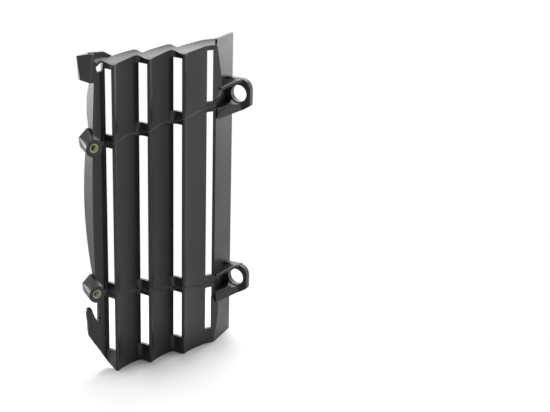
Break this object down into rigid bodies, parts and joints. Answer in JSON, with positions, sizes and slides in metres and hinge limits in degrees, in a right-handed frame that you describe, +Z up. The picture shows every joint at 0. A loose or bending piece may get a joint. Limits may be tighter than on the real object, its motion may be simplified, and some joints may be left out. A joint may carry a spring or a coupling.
{
  "type": "motorcycle radiator guard",
  "caption": "Moulded louvre panel that covers a motorcycle radiator, with upright slats, crossbars, eyelet brackets on one side and threaded bosses on the other.",
  "frame": {"origin": "middle of the guard's width and depth, at the level of its lower edge, on which it stands", "axes": "+X from the outer side with the bosses to the inner side with the eyelets, +Y back to the radiator, +Z up"},
  "size_m": [0.165, 0.0302, 0.2895],
  "materials": {
    "moulding": "satin black moulded plastic",
    "insert": "dull yellowish metal"
  },
  "bodies": {
    "root": {"guard": "moulding", "upper_insert": "insert", "lower_insert": "insert"}
  },
  "joints": []
}
